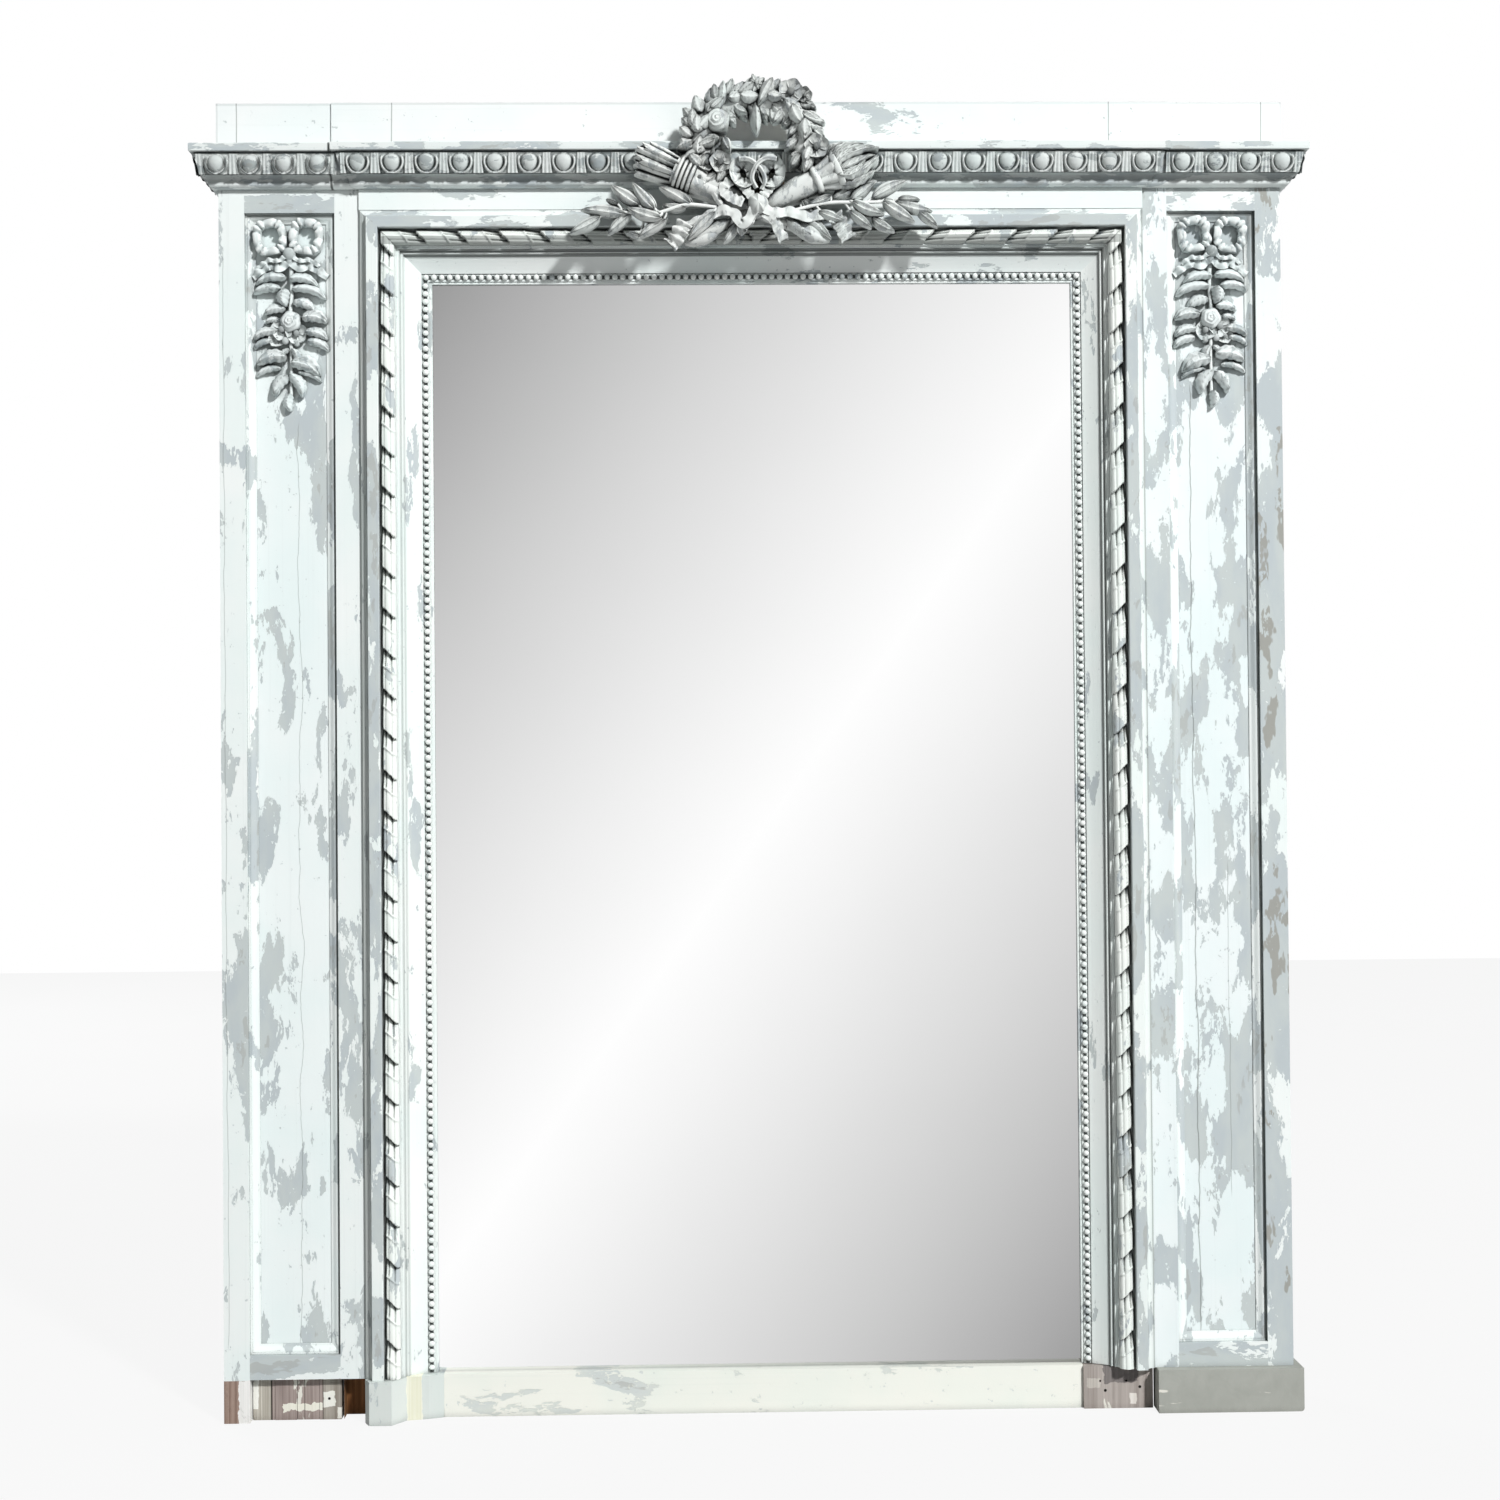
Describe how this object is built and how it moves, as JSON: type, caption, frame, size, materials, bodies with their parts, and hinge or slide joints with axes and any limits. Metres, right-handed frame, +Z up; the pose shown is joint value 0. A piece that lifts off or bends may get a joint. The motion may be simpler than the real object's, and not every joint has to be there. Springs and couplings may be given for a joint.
{
  "type": "overmantel mirror",
  "caption": "Tall painted overmantel mirror with panelled pilasters, an egg-and-dart cornice and a carved crest of wreath, bow, torch and quiver.",
  "frame": {"origin": "on the base, in the middle of the width and of the depth", "axes": "+X to the viewer's right, +Y back to the wall, +Z up; the mirror faces -Y"},
  "size_m": [1.616, 0.1704, 1.9281],
  "materials": {
    "flaked_paint": "flaked white paint over grey, matt",
    "panel_paint": "pale blue-white paint, worn, matt",
    "cornice_paint": "grey-white paint, worn, matt",
    "drop_paint": "grey-white paint with darker hollows",
    "crest_paint": "weathered grey paint with white edges",
    "bare_wood": "bare aged board, dull",
    "grey_wood": "grey weathered wood, dull",
    "back_wood": "unpainted sawn wood",
    "mirror": "silvered glass, lightly aged",
    "zinc_steel": "dull plated steel",
    "nail_iron": "dark iron"
  },
  "bodies": {
    "root": {"left_side_board": "flaked_paint", "right_side_board": "flaked_paint", "left_outer_stile": "flaked_paint", "right_outer_stile": "flaked_paint", "left_inner_stile": "flaked_paint", "right_inner_stile": "flaked_paint", "left_top_rail": "flaked_paint", "right_top_rail": "flaked_paint", "left_bottom_rail": "flaked_paint", "right_bottom_rail": "flaked_paint", "left_panel": "panel_paint", "right_panel": "panel_paint", "left_panel_moulding": "flaked_paint", "right_panel_moulding": "flaked_paint", "left_rough_foot": "bare_wood", "right_plinth": "grey_wood", "left_jamb": "flaked_paint", "right_jamb": "flaked_paint", "frame_head": "flaked_paint", "left_ribbon": "flaked_paint", "right_ribbon": "flaked_paint", "head_ribbon": "flaked_paint", "left_beads": "flaked_paint", "right_beads": "flaked_paint", "head_beads": "flaked_paint", "left_jamb_block": "flaked_paint", "right_jamb_core": "bare_wood", "bottom_board": "flaked_paint", "frieze_board": "flaked_paint", "mirror_glass": "mirror", "glass_blocks": "back_wood", "left_backboard": "back_wood", "middle_backboard": "back_wood", "right_backboard": "back_wood", "backboard_nails": "nail_iron", "top_batten": "back_wood", "middle_batten": "back_wood", "bottom_batten": "back_wood", "hanging_plates": "zinc_steel", "hanging_screws": "zinc_steel", "left_cornice": "cornice_paint", "middle_cornice": "cornice_paint", "right_cornice": "cornice_paint", "left_egg_and_dart": "cornice_paint", "middle_egg_and_dart": "cornice_paint", "right_egg_and_dart": "cornice_paint", "left_attic": "flaked_paint", "middle_attic": "flaked_paint", "right_attic": "flaked_paint", "attic_returns": "flaked_paint", "left_drop": "drop_paint", "right_drop": "drop_paint", "crest_trophy": "crest_paint", "crest_wreath": "crest_paint", "crest_bow": "crest_paint", "crest_left_branch": "crest_paint", "crest_right_branch": "crest_paint", "crest_bracket": "back_wood"}
  },
  "joints": []
}
